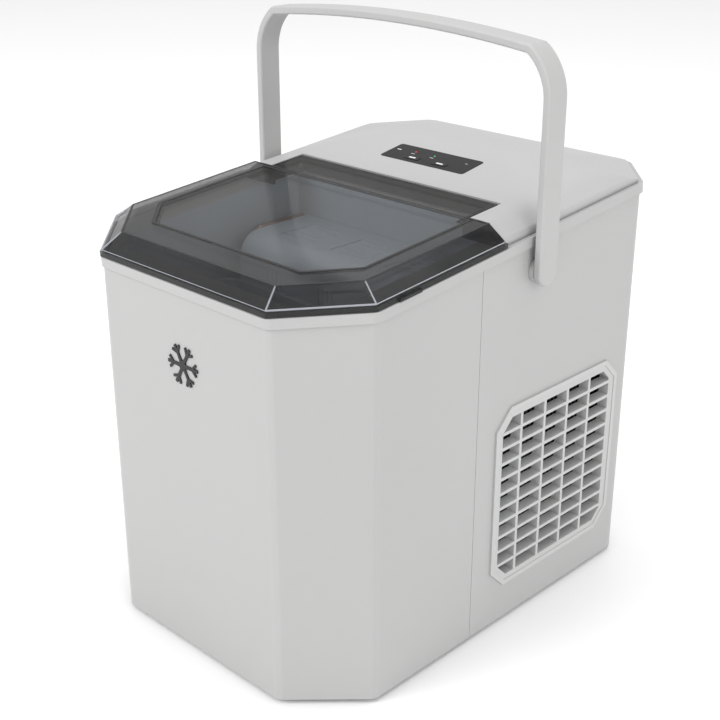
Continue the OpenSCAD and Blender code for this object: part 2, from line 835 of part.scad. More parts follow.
module compressor() {
    color("dimgray") translate([comp_x, comp_s - hd, 0]) {
        translate([0, 0, z0 + 22]) cylinder(h = comp_h - 30, r = comp_r);
        translate([0, 0, z0 + 22 + comp_h - 30 - eps]) cylinder(h = 14, r1 = comp_r, r2 = comp_r - 14);
        translate([0, 0, z0 + 14]) cylinder(h = 8 + eps, r1 = comp_r - 10, r2 = comp_r);
        for (a = [90, 210, 330]) rotate(a) difference() {
            box([comp_r - 14, -8, z0 + 14], [comp_r + 12, 8, z0 + 17]);
            translate([comp_r + 4, 0, 0]) cylinder(h = 40, r = 4.1);
        }
        rotate(20) box([comp_r - 6, -14, z0 + 60], [comp_r + 10, 14, z0 + 92]);
    }
}

module compressor_mounts() {
    color("black") translate([comp_x, comp_s - hd, 0]) for (a = [90, 210, 330]) rotate(a)
        translate([comp_r + 4, 0, 0]) {
            translate([0, 0, z0 + pan_t + 0.05]) cylinder(h = 11.3, r = 8);
            translate([0, 0, z0 + pan_t + 0.05]) cylinder(h = 20, r = 4);
            translate([0, 0, z0 + 17.15]) cylinder(h = 2.4, r = 6.5);
        }
}

module condenser() {
    color("silver") difference() {
        box([cond_x, cond_s0 - hd, z0 + 32], [cond_x + 16, cond_s1 - hd, z0 + 140]);
        for (i = [0 : 20]) box([cond_x - 1, cond_s0 + 2 + i * 4 - hd, z0 + 34],
            [cond_x + 17, cond_s0 + 4.8 + i * 4 - hd, z0 + 138]);
    }
    color("peru") for (i = [0 : 5])
        rod_y(cond_s0 - 3 - hd, cond_s1 + 3 - hd, cond_x + 8, z0 + 42 + i * 18, 3);
}

module fan_shroud() {
    color("gray") difference() {
        box([cond_x - 14, cond_s0 - hd, z0 + 30], [cond_x - 0.4, cond_s1 - hd, z0 + 142]);
        box([cond_x - 11.5, cond_s0 + 2 - hd, z0 + 32.5], [cond_x + 1, cond_s1 - 2 - hd, z0 + 139.5]);
        rod_x(cond_x - 20, cond_x - 5, fan_s - hd, fan_z, fan_r + 1);
    }
    color("gray") translate([cond_x - 20.5, fan_s - hd, fan_z]) difference() {
        for (a = [45 : 90 : 315]) rotate([a, 0, 0]) {
            box([0, -1, -3], [2.4, fan_r + 8, 3]);
            box([0, fan_r + 3, -3], [6.7, fan_r + 8, 3]);
        }
        rod_x(-5, 5, 0, 0, 4);
    }
}

module fan_impeller() {
    color("black") translate([cond_x - 15, fan_s - hd, fan_z]) difference() {
        union() {
            rod_x(0, 9, 0, 0, 14);
            for (a = [0 : 360 / 7 : 359]) rotate([a, 0, 0]) translate([4.5, 12, 0]) rotate([0, 28, 0])
                box([-1, 0, -12], [1, fan_r - 13.5, 12]);
        }
        rod_x(-1, 6, 0, 0, 3 + run_fit);
    }
}

module fan_motor() {
    color("silver") {
        rod_x(cond_x - 45, cond_x - 20.8, fan_s - hd, fan_z, 19);
        rod_x(cond_x - 21, cond_x - 9.5, fan_s - hd, fan_z, 3);
    }
}

module refrigerant_tubes() {
    r = 3;
    y_out = axis_s + 6 - hd;
    y_in = axis_s - 6 - hd;
    y_back = 190 - hd;
    y_dry = 284 - hd;
    x_cond = cond_x + 8;
    y_end = cond_s1 + 3.3 - hd;
    color("peru") {
        // hot gas, compressor to condenser
        pipe_run([[comp_x, comp_s - hd, z0 + comp_h + 7], [comp_x, comp_s - hd, z0 + 150],
            [comp_x, y_dry - 1, z0 + 150], [x_cond, y_dry - 1, z0 + 150],
            [x_cond, y_dry - 1, z0 + 132], [x_cond, y_end, z0 + 132]], r);
        // condenser to drier, drier to valve
        pipe_run([[x_cond, y_end, z0 + 42], [x_cond, y_dry, z0 + 42], [x_cond, y_dry, z0 + 22],
            [30, y_dry, z0 + 22], [30, y_dry, z0 + 29.8]], r);
        pipe_run([[30, y_dry, z0 + 112.3], [30, y_dry, z0 + 168], [30, 226.3 - hd, z0 + 168]], r);
        // valve to evaporator
        pipe_run([[32, 205.7 - hd, z0 + 170], [32, y_back, z0 + 170], [32, y_back, pipe_z + 9],
            [pipe_x, y_back, pipe_z + 9], [pipe_x, y_in, pipe_z + 9], [pipe_x, y_in, pipe_z],
            [-70.3, y_in, pipe_z]], r);
        // evaporator back to compressor
        pipe_run([[-70.3, y_out, pipe_z], [pipe_x, y_out, pipe_z], [pipe_x, comp_s - hd, pipe_z],
            [pipe_x, comp_s - hd, z0 + comp_h + 2]], r);
    }
}

module filter_drier() {
    color("peru") {
        translate([30, 284 - hd, z0 + 40]) cylinder(h = 62, r = 9);
        translate([30, 284 - hd, z0 + 102 - eps]) cylinder(h = 10, r1 = 9, r2 = 3);
        translate([30, 284 - hd, z0 + 30]) cylinder(h = 10 + eps, r1 = 3, r2 = 9);
    }
}

module gas_valve() {
    color("darkgray") {
        box([20, 206 - hd, z0 + 158], [44, 226 - hd, z0 + 184]);
        translate([32, 216 - hd, z0 + 184 - eps]) cylinder(h = 12, r = 8);
        rod_x(10, 54, 216 - hd, z0 + 157, 4);
    }
}

module control_board() {
    y = body_d - 16 - hd;
    color("seagreen") box([-60, y, z0 + 172], [60, y + 1.6, z0 + 236]);
    color("dimgray") {
        for (x = [-50, 50], z = [z0 + 178, z0 + 230]) rod_y(y + 1.5, hd - wall - 0.1, x, z, 3);
        box([-50, y - 18, z0 + 184], [-22, y + eps, z0 + 212]);
        box([-12, y - 14, z0 + 190], [10, y + eps, z0 + 206]);
        for (i = [0 : 3]) box([20 + i * 9, y - 9, z0 + 180], [27 + i * 9, y + eps, z0 + 190]);
        rod_y(y - 20, y + eps, 30, z0 + 212, 8);
    }
}

module partition() {
    color("lightgray") difference() {
        box([-hw + 8.6, tub_s1 + 12 - hd, z0 + pan_t + 0.1], [hw - 8.6, tub_s1 + 14 - hd, z0 + 212]);
        box([cond_x - 24, tub_s1 - hd, -5], [hw, tub_s1 + 30 - hd, z0 + 148]);
        rod_y(tub_s1 - hd, tub_s1 + 40 - hd, pipe_x, pipe_z, 6);
    }
}

// ---- vents and fittings ----

module vent_grille() {
    color("white") {
        difference() {
            grille_slab(hw + 0.05, hw + 1.3, 0);
            grille_slab(hw - 1, hw + 2, -3);
        }
        difference() {
            grille_slab(hw - 6.6, hw + 0.7, -grille_land - 0.2);
            intersection() {
                grille_slab(hw - 9, hw + 2, -grille_land - 2.6);
                for (i = [-3 : 3], j = [-6 : 6])
                    translate([hw - 9, grille_s0 + grille_l / 2 - 3 - hd + (i - 0.5) * bar_pitch + 1.1,
                        grille_z0 + grille_h / 2 + (j - 0.5) * slat_pitch + 0.8])
                        cube([12, bar_pitch - 2.2, slat_pitch - 2.1]);
            }
        }
        difference() {
            grille_slab(hw + 0.05, hw + 0.75, -2.9);
            grille_slab(hw - 1, hw + 2, -grille_land - 2.6);
        }
    }
}

module vent_grille_right() { vent_grille(); }

module vent_grille_left() { mirror([1, 0, 0]) vent_grille(); }

module cord_gland() {
    color("black") difference() {
        union() {
            rod_y(hd - wall - 6, hd + 1.2, gland_x, gland_z, gland_r);
            rod_y(hd + 0.05, hd + 1.3, gland_x, gland_z, gland_r + 3);
            rod_y(hd - wall - 3, hd - wall - 0.05, gland_x, gland_z, gland_r + 2);
        }
        rod_y(hd - 20, hd + 5, gland_x, gland_z, 4);
    }
}

// ---- assembly ----

base_pan();
front_shell();
rear_shell();
rim_frame();
top_cover();
control_panel();
led_red();
led_green();
display_board();
power_button();
select_button();
lid_shell();
lid_window();
hinge_pins();
handle();
handle_pivots();
inner_tub();
insulation();
ice_basket();
evaporator();
evaporator_cover();
water_tray();
ice_pusher();
gear_motor();
ice_sensors();
water_pump();
pump_hose();
drain_fitting();
drain_cap();
compressor();
compressor_mounts();
condenser();
fan_shroud();
fan_impeller();
fan_motor();
refrigerant_tubes();
filter_drier();
gas_valve();
control_board();
partition();
vent_grille_right();
vent_grille_left();
cord_gland();
rubber_feet();
base_screws();
front_emblem();
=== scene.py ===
import json
import math

import bmesh
import bpy
from bpy.props import FloatProperty, FloatVectorProperty, IntProperty, PointerProperty
from mathutils import Matrix, Vector

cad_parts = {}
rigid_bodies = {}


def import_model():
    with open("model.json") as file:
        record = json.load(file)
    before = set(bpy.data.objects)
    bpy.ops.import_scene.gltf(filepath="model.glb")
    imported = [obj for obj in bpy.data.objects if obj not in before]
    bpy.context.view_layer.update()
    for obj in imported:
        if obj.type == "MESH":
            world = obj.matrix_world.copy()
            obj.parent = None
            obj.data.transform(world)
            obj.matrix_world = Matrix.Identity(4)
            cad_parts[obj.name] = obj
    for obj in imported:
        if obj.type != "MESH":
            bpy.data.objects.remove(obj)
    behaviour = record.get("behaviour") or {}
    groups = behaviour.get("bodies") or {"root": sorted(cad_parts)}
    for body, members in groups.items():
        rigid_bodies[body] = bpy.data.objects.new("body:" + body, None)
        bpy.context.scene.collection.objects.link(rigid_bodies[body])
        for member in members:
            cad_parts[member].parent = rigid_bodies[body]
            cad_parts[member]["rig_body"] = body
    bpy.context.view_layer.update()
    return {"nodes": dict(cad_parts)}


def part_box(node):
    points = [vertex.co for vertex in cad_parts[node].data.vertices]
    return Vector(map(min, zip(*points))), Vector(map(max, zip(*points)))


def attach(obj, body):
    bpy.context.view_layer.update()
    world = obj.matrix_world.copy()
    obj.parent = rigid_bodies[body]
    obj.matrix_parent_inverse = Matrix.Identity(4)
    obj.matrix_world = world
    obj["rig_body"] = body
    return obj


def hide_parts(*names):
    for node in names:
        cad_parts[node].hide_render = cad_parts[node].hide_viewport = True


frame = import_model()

bl_info = {
    "name": "Countertop ice maker",
    "version": (1, 0, 0),
    "blender": (4, 5, 0),
    "location": "3D View > Sidebar > Ice maker",
    "description": "Finishes the housing, smoked lid, handle and works of a countertop ice maker",
    "category": "Object",
}

MM = 0.001
NODES = frame["nodes"]
BODY_OF = {n: o["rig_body"] for n, o in NODES.items()}

# The sloping top: its own frame has x, s along the slope from the front wall, and v above the rim.
TILT = math.radians(4.9)
RIM_FRONT = 241 * MM
HALF_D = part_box("rear_shell")[1].y
ON_TOP = Matrix.Translation((0, -HALF_D, RIM_FRONT)) @ Matrix.Rotation(TILT, 4, "X")
LID_TOP = 12.3 * MM
NOTCH_W = 84.2 * MM
NOTCH_S = 174.5 * MM
STRIP_S = 197.5 * MM
STRIP_RISE = math.radians(4.4)
ON_STRIP = (
    ON_TOP
    @ Matrix.Translation((0, NOTCH_S, LID_TOP))
    @ Matrix.Rotation(STRIP_RISE, 4, "X")
    @ Matrix.Translation((0, STRIP_S - NOTCH_S, 0))
)
CAMERA_AT = (0.532, -0.558, 0.480)
CAMERA_AZIMUTH = math.radians(44.3)
CAMERA_ELEVATION = math.radians(23.2)


# ---- settings ----


class IceMakerSizes(bpy.types.PropertyGroup):
    corner_radius: FloatProperty(
        name="Corner radius", description="Rounding of the upright edges of the housing",
        default=8 * MM, min=2 * MM, max=14 * MM, unit="LENGTH")
    edge_radius: FloatProperty(
        name="Edge radius", description="Rounding of the rims and mouldings",
        default=0.8 * MM, min=0.2 * MM, max=2 * MM, unit="LENGTH")
    handle_radius: FloatProperty(
        name="Handle edge radius", description="Rounding of the long edges of the handle strap",
        default=1.4 * MM, min=0.3 * MM, max=2.4 * MM, unit="LENGTH")
    cover_step: FloatProperty(
        name="Cover mesh step", description="Spacing of the mesh over the domed rear cover",
        default=2.5 * MM, min=1 * MM, max=6 * MM, unit="LENGTH")
    round_segments: IntProperty(
        name="Corner segments", description="Number of faces round each upright edge",
        default=8, min=3, max=16)


class IceMakerFinishes(bpy.types.PropertyGroup):
    housing: FloatVectorProperty(
        name="Housing", description="Colour of the housing plastic", subtype="COLOR",
        default=(0.430, 0.430, 0.428), min=0, max=1)
    cover: FloatVectorProperty(
        name="Cover", description="Colour of the rear cover", subtype="COLOR",
        default=(0.435, 0.435, 0.435), min=0, max=1)
    trim: FloatVectorProperty(
        name="Trim", description="Colour of the rim and grilles", subtype="COLOR",
        default=(0.432, 0.432, 0.430), min=0, max=1)
    handle: FloatVectorProperty(
        name="Handle", description="Colour of the handle", subtype="COLOR",
        default=(0.445, 0.445, 0.443), min=0, max=1)
    smoke: FloatVectorProperty(
        name="Lid", description="Tint of the smoked lid", subtype="COLOR",
        default=(0.012, 0.012, 0.013), min=0, max=1)
    smoke_density: FloatProperty(
        name="Lid density", description="Share of light that each face of the lid stops",
        default=0.60, min=0, max=1)
    window: FloatVectorProperty(
        name="Window", description="Tint of the window", subtype="COLOR",
        default=(0.040, 0.038, 0.036), min=0, max=1)
    window_density: FloatProperty(
        name="Window density", description="Share of light that each face of the window stops",
        default=0.30, min=0, max=1)
    tub: FloatVectorProperty(
        name="Tub", description="Colour of the tub", subtype="COLOR",
        default=(0.44, 0.49, 0.54), min=0, max=1)
    badge: FloatVectorProperty(
        name="Badge", description="Colour of the badge", subtype="COLOR",
        default=(0.012, 0.012, 0.012), min=0, max=1)


def sizes():
    return bpy.context.scene.icemaker_sizes


def finishes():
    return bpy.context.scene.icemaker_finishes


# ---- materials ----


class Value:
    """A number socket that takes part in Python arithmetic."""

    def __init__(self, tree, socket):
        self.tree, self.socket = tree, socket

    def _with(self, operation, *terms):
        node = self.tree.node("ShaderNodeMath", {"operation": operation}, dict(enumerate(terms)))
        return node[0]

    def __add__(self, other):
        return self._with("ADD", self, other)

    def __mul__(self, other):
        return self._with("MULTIPLY", self, other)


class Made:
    """A node's outputs, by name or number."""

    def __init__(self, tree, node):
        self.tree, self.of = tree, node

    def __getitem__(self, key):
        return Value(self.tree, self.of.outputs[key])


class Finish:
    """A material and the nodes it is mixed from."""

    def __init__(self, name):
        self.material = bpy.data.materials.new(name)
        self.material.use_nodes = True
        self.tree = self.material.node_tree
        self.tree.nodes.clear()
        self.place = self.node("ShaderNodeTexCoord")["Object"]

    def node(self, kind, settings=None, inputs=None):
        made = self.tree.nodes.new(kind)
        for key, value in (settings or {}).items():
            if key == "stops":
                while len(made.color_ramp.elements) < len(value):
                    made.color_ramp.elements.new(0.5)
                for stop, (at, colour) in zip(made.color_ramp.elements, value):
                    stop.position, stop.color = at, (*colour, 1)
            else:
                setattr(made, key, value)
        for key, value in (inputs or {}).items():
            if isinstance(value, Value):
                self.tree.links.new(value.socket, made.inputs[key])
            elif value is not None:
                made.inputs[key].default_value = value
        return Made(self, made)

    def noise(self, scale, detail=3.0, roughness=0.5, place=None):
        return self.node("ShaderNodeTexNoise", None, {
            "Vector": place or self.place, "Scale": scale, "Detail": detail, "Roughness": roughness})["Fac"]

    def stretched(self, x, y, z):
        return self.node("ShaderNodeMapping", None, {"Vector": self.place, "Scale": (x, y, z)})["Vector"]

    def blend(self, share, one, other):
        pair = [c if isinstance(c, Value) else (*c, 1) for c in (one, other)]
        mix = self.node("ShaderNodeMix", {"data_type": "RGBA"}, {"Factor": share, 6: pair[0], 7: pair[1]})
        return mix[2]

    def bump(self, height, strength, depth, normal=None):
        return self.node("ShaderNodeBump", None, {
            "Height": height, "Strength": strength, "Distance": depth, "Normal": normal})["Normal"]

    def surface(self, **inputs):
        """Ends the material in one shader; words are its sockets, with _ for a space."""
        sockets = {k.replace("_", " "): v for k, v in inputs.items()}
        shader = self.node("ShaderNodeBsdfPrincipled", None, sockets)
        out = self.node("ShaderNodeOutputMaterial")
        self.tree.links.new(shader.of.outputs[0], out.of.inputs[0])
        return self.material


FINISHES = {}


def shade(colour, by):
    return tuple(min(1.0, c * by) for c in colour)


def moulded(name, colour, roughness=0.45, grain=0.10, coat=0.0, shine=0.5):
    """Moulded plastic: a fine spark-eroded grain, slow changes of tone, and convex edges painted lighter as
    a highlight.
    """
    f = Finish(name)
    colour = tuple(colour)
    cloud = f.noise(9, 2)
    speck = f.noise(2600, 2)
    # painted highlight: convex edges, found by pointiness, are painted lighter
    painted_edge_highlight = f.node("ShaderNodeValToRGB", {"stops": [(0.50, (0, 0, 0)), (0.62, (1, 1, 1))]}, {
        "Fac": f.node("ShaderNodeNewGeometry")["Pointiness"]})["Color"]
    base = f.blend(cloud, shade(colour, 0.975), shade(colour, 1.02))
    base = f.blend(speck * 0.12, base, shade(colour, 0.9))
    base = f.blend(painted_edge_highlight * 0.35, base, shade(colour, 1.06))
    ripple = f.bump(f.noise(55, 1), 0.10, 0.0008)
    return f.surface(
        Base_Color=base, Roughness=f.noise(420, 3) * 0.12 + cloud * 0.05 + (roughness - 0.08),
        Normal=f.bump(speck, grain, 0.0001, ripple), Coat_Weight=coat, Coat_Roughness=0.12, IOR=1.49,
        Specular_IOR_Level=shine)


def smoked(name, tint, density, roughness=0.05):
    """Clear tinted plastic: light passes by the share that the density leaves, under a gloss."""
    f = Finish(name)
    tint = tuple(tint)
    haze = f.noise(30, 2)
    scuff = f.noise(180, 4, place=f.stretched(1, 6, 1))
    return f.surface(
        Base_Color=f.blend(haze, shade(tint, 0.85), shade(tint, 1.2)),
        Alpha=haze * 0.05 + (density - 0.025),
        Roughness=scuff * 0.05 + haze * 0.03 + (roughness - 0.03),
        Normal=f.bump(f.noise(14, 1), 0.05, 0.001),
        Specular_IOR_Level=0.36, IOR=1.5, Coat_Weight=0.12, Coat_Roughness=0.02)


def metal(name, colour, roughness=0.3, along=(1, 40, 40), tarnish=0.12):
    """Drawn or rolled metal: fine lines along the work and a patchy tarnish."""
    f = Finish(name)
    lines = f.noise(60, 4, 0.6, f.stretched(*along))
    patch = f.noise(45, 4, 0.6)
    return f.surface(
        Base_Color=f.blend(patch * 0.8, colour, shade(colour, 1 - tarnish)), Metallic=1.0,
        Roughness=lines * 0.16 + patch * 0.10 + (roughness - 0.13), Normal=f.bump(lines, 0.12, 0.0002))


def enamelled(name, colour):
    """Stove enamel on pressed steel: orange peel and a few dull patches."""
    f = Finish(name)
    peel = f.noise(700, 2)
    dust = f.noise(38, 5, 0.65)
    return f.surface(
        Base_Color=f.blend(dust, colour, shade(colour, 2.2)), Roughness=dust * 0.25 + 0.22,
        Normal=f.bump(peel, 0.18, 0.0004), Coat_Weight=0.3, Coat_Roughness=0.2)


def rubbery(name, colour):
    """Soft rubber with a fine matt tooth and greyer bloom."""
    f = Finish(name)
    tooth = f.noise(1500, 3)
    bloom = f.noise(70, 4)
    return f.surface(
        Base_Color=f.blend(bloom, colour, shade(colour, 1.7)), Roughness=tooth * 0.15 + 0.66,
        Normal=f.bump(tooth, 0.25, 0.0003))


def foamed(name, colour):
    """Poured foam with open cells."""
    f = Finish(name)
    cells = f.node("ShaderNodeTexVoronoi", None, {"Vector": f.place, "Scale": 420.0})["Distance"]
    return f.surface(
        Base_Color=f.blend(cells, shade(colour, 0.72), colour), Roughness=0.9,
        Normal=f.bump(cells, 0.6, 0.0012), Subsurface_Weight=0.1, Subsurface_Radius=(0.004, 0.003, 0.002))


def circuit(name, colour):
    """A circuit board: lacquer over copper tracks."""
    f = Finish(name)
    tracks = f.node("ShaderNodeTexBrick", {"offset": 0.35}, {
        "Vector": f.place, "Scale": 140.0, "Mortar Size": 0.035, "Mortar Smooth": 0.2, "Brick Width": 0.9,
        "Row Height": 0.35})["Fac"]
    grime = f.noise(60, 3)
    base = f.blend(tracks, colour, (0.14, 0.42, 0.16))
    return f.surface(
        Base_Color=f.blend(grime * 0.3, base, shade(colour, 0.6)), Roughness=grime * 0.2 + 0.25,
        Normal=f.bump(tracks, 0.4, 0.0001), Coat_Weight=0.5, Coat_Roughness=0.1)


def glowing(name, colour, glow):
    """A lamp's coloured lens, glowing in a flecked colour."""
    f = Finish(name)
    fleck = f.noise(2400, 2)
    return f.surface(
        Base_Color=f.blend(fleck, colour, shade(colour, 0.6)), Roughness=fleck * 0.1 + 0.15,
        Emission_Color=f.blend(fleck, colour, shade(colour, 0.7)), Emission_Strength=glow)


def inked(name, colour):
    """Printed ink: opaque, with a slightly uneven edge of gloss."""
    f = Finish(name)
    dots = f.noise(3000, 2)
    return f.surface(
        Base_Color=f.blend(dots, colour, shade(colour, 0.88)), Roughness=dots * 0.2 + 0.4,
        Normal=f.bump(dots, 0.1, 0.00005))


def make_finishes():
    c = finishes()
    FINISHES.update(
        shell_grey=moulded("Housing plastic", c.housing, 0.42, 0.10),
        cover_grey=moulded("Cover plastic", c.cover, 0.34, 0.06),
        trim_white=moulded("Trim plastic", c.trim, 0.36, 0.06),
        handle_grey=moulded("Handle plastic", c.handle, 0.46, 0.10),
        smoked=smoked("Smoked plastic", c.smoke, c.smoke_density, 0.07),
        window_clear=smoked("Window plastic", c.window, c.window_density, 0.05),
        panel_black=moulded("Strip film", (0.009, 0.009, 0.010), 0.34, 0.04, 0.0, 0.14),
        led_red=glowing("Red lens", (0.75, 0.03, 0.02), 0.6),
        led_green=glowing("Green lens", (0.05, 0.62, 0.22), 0.5),
        board_green=circuit("Circuit board", (0.01, 0.11, 0.04)),
        tub_blue=moulded("Tub plastic", c.tub, 0.32, 0.04, 0.2),
        basket_clear=smoked("Basket plastic", (0.52, 0.57, 0.62), 0.62, 0.12),
        foam=foamed("Tub foam", (0.74, 0.66, 0.42)),
        nickel=metal("Nickel plate", (0.70, 0.69, 0.67), 0.24),
        steel=metal("Zinc-plated steel", (0.60, 0.61, 0.63), 0.34),
        copper=metal("Copper tube", (0.52, 0.33, 0.24), 0.30, tarnish=0.35),
        black_paint=enamelled("Black enamel", (0.012, 0.012, 0.012)),
        # painted shade: the condenser's fins are near-black so that the inside seen through the grilles
        # reads dark
        aluminium=metal("Condenser fins painted dark", (0.045, 0.046, 0.050), 0.45, (40, 40, 1)),
        black_plastic=moulded("Black plastic", (0.014, 0.014, 0.015), 0.42, 0.12),
        grey_plastic=moulded("Grey plastic", (0.20, 0.205, 0.21), 0.45, 0.12),
        rubber=rubbery("Black rubber", (0.018, 0.018, 0.018)),
        hose_clear=rubbery("Silicone hose", (0.62, 0.64, 0.63)),
        silver_badge=inked("Badge ink", tuple(c.badge)),
        # painted highlight: a light smoked finish for the rods that stand in for glints on the lid's edges
        ridge_bright=smoked("Painted edge highlight", (0.46, 0.47, 0.52), 0.55, 0.06),
        # painted shade: dark lines standing in for light bent at the window's joint and the lid's top edge
        joint_black=inked("Painted dark line", (0.012, 0.012, 0.013)),
        # painted light: the grille is the trim colour painted 16% lighter, standing in for light falling on
        # the slat tops
        grille_grey=moulded("Grille plastic painted lighter", shade(c.trim, 1.16), 0.36, 0.06),
        print_white=inked("Printed white", (0.82, 0.82, 0.82)),
    )


# ---- mesh helpers ----


def copy_of(node):
    """A merged copy of a CAD node's mesh with its flat faces joined up."""
    bm = bmesh.new()
    bm.from_mesh(NODES[node].data)
    bmesh.ops.remove_doubles(bm, verts=bm.verts, dist=2e-6)
    bmesh.ops.dissolve_limit(bm, angle_limit=math.radians(0.6), verts=bm.verts, edges=bm.edges)
    return bm


def turn(edge):
    """How sharply the faces on either side of an edge turn, in degrees."""
    return math.degrees(edge.calc_face_angle(0.0))


def round_over(bm, edges, width, segments=3):
    edges = [e for e in edges if e.is_valid]
    if edges:
        bmesh.ops.bevel(bm, geom=edges, offset=width, offset_type="OFFSET", segments=segments, profile=0.5,
                        affect="EDGES", clamp_overlap=True, material=-1)


def soften(bm, width, segments=3, above=30, keep=lambda e: True):
    """Rounds every edge that turns more than `above` degrees and is long enough to take it."""
    round_over(bm, [e for e in bm.edges if turn(e) > above and e.calc_length() > 2.5 * width and keep(e)],
               width, segments)


def upright(edge, slope=0.0):
    d = (edge.verts[1].co - edge.verts[0].co).normalized()
    return abs(d.dot(Vector((0, -math.sin(slope), math.cos(slope))))) > 0.995


def piece(name, bm, finish, body, node=None, smooth=35, level=True):
    """Makes the object, shades it, and seats it on its CAD body."""
    for face in bm.faces:
        face.smooth = True
    for edge in bm.edges:
        edge.smooth = turn(edge) < smooth
    mesh = bpy.data.meshes.new(name)
    bm.to_mesh(mesh)
    bm.free()
    made = bpy.data.objects.new(name, mesh)
    bpy.context.scene.collection.objects.link(made)
    mesh.materials.append(FINISHES[finish])
    if level:
        made.modifiers.new("Level normals", "WEIGHTED_NORMAL").keep_sharp = True
    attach(made, body)
    if node:
        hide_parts(node)
    return made


def refine(name, node, finish, width, segments=3, above=30, keep=lambda e: True):
    """A softened copy of a CAD node, in its finish."""
    bm = copy_of(node)
    soften(bm, width, segments, above, keep)
    return piece(name, bm, finish, BODY_OF[node], node)


def coat(node, finish):
    """Gives a CAD node that stays as it is its material."""
    o = NODES[node]
    o.data.materials.clear()
    o.data.materials.append(FINISHES[finish])


def block(low, high, place=Matrix.Identity(4), corner=0.0, edge=0.0, segments=4, bm=None):
    """A box between two corners, with its upright edges and then its top edges rounded."""
    part = bmesh.new()
    bmesh.ops.create_cube(part, size=1)
    low, high = Vector(low), Vector(high)
    bmesh.ops.scale(part, vec=high - low, verts=part.verts)
    bmesh.ops.translate(part, vec=(low + high) / 2, verts=part.verts)
    if corner:
        round_over(part, [e for e in part.edges if upright(e)], corner, segments)
    if edge:
        tops = [e for e in part.edges if turn(e) > 60 and min(v.co.z for v in e.verts) > high.z - 1e-6]
        round_over(part, tops, edge, 2)
    bmesh.ops.transform(part, matrix=place, verts=part.verts)
    if bm is None:
        return part
    mesh = bpy.data.meshes.new("part")
    part.to_mesh(mesh)
    part.free()
    bm.from_mesh(mesh)
    bpy.data.meshes.remove(mesh)
    return bm


def smooth_least(a, b, soft):
    """The lesser of two heights, rounded where they cross."""
    h = max(0.0, min(1.0, 0.5 + 0.5 * (b - a) / soft))
    return b * (1 - h) + a * h - soft * h * (1 - h)


def along(points, at):
    """Smooth curve through (place, height) points."""
    if at <= points[0][0]:
        return points[0][1]
    for i in range(len(points) - 1):
        (a, va), (b, vb) = points[i], points[i + 1]
        if at <= b:
            before, after = points[max(i - 1, 0)], points[min(i + 2, len(points) - 1)]
            ma = (vb - before[1]) / (b - before[0]) if i else (vb - va) / (b - a)
            mb = (after[1] - va) / (after[0] - a) if i + 2 < len(points) else (vb - va) / (b - a)
            t, w = (at - a) / (b - a), b - a
            return ((2 * t**3 - 3 * t**2 + 1) * va + (t**3 - 2 * t**2 + t) * w * ma
                    + (3 * t**2 - 2 * t**3) * vb + (t**3 - t**2) * w * mb)
    return points[-1][1]


# ---- pieces ----


class ICEMAKER_OT_finishes(bpy.types.Operator):
    """Mixes the materials from the colours in the panel"""

    bl_idname = "icemaker.finishes"
    bl_label = "Mix the finishes"

    def execute(self, context):
        make_finishes()
        return {"FINISHED"}


def seam(edge):
    """An edge of the fine joint between the two shells."""
    return all(abs(v.co.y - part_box("rear_shell")[0].y) < 2 * MM for v in edge.verts)


class ICEMAKER_OT_housing(bpy.types.Operator):
    """Rounds the two shells, the rim and the base pan"""

    bl_idname = "icemaker.housing"
    bl_label = "Housing"

    def execute(self, context):
        p = sizes()
        cut = p.corner_radius * math.tan(math.radians(22.5))
        for node in ("front_shell", "rear_shell", "base_pan"):
            bm = copy_of(node)
            round_over(bm, [e for e in bm.edges if upright(e) and 40 < turn(e) < 50], cut, p.round_segments)
            soften(bm, 0.5 * MM, 2, 60, lambda e: e.calc_length() > 8 * MM and not seam(e))
            piece(node.capitalize(), bm, "shell_grey", "body", node=node)
        bm = copy_of("rim_frame")
        round_over(bm, [e for e in bm.edges if upright(e, TILT) and 40 < turn(e) < 50], cut * 1.15,
                   p.round_segments)
        soften(bm, p.edge_radius, 3, 60, lambda e: e.calc_length() > 3 * MM)
        piece("Top_rim", bm, "trim_white", "body", node="rim_frame")
        return {"FINISHED"}


# Height of the cover's middle line above the rim, as (s, height) in millimetres, and its outline.
CROWN = [
    (146, 12.3), (160, 12.3), (174.5, 12.35), (197, 14.03), (220, 15.8), (240, 16.6), (256, 15.6),
    (272, 13.0), (288, 9.0), (300, 5.0), (306.7, 2.4),
]
COVER_W = 109 * MM
COVER_S = (146.3 * MM, 306.7 * MM)
CREST_S = 240
REAR_CUT = 27.5 * MM


def cover_height(x, s, diagonal):
    """Height of the rear cover above the rim over a place on the sloping top, all in millimetres.

    The flank rises steeply from the edge, then at the lid's slope, then gently; the crown and the
    cut rear corners lie over it, and the least of them counts.
    """
    side = COVER_W / MM - abs(x)
    flank = smooth_least(2.8 + 2.4 * side, 3.9 + 0.72 * side, 0.5)
    flank = smooth_least(flank, 10.9 + 0.13 * side, 3.5)
    corner = along(CROWN, max(CREST_S, COVER_S[1] / MM - diagonal))
    return smooth_least(flank, smooth_least(along(CROWN, s), corner, 0.8), 0.8)


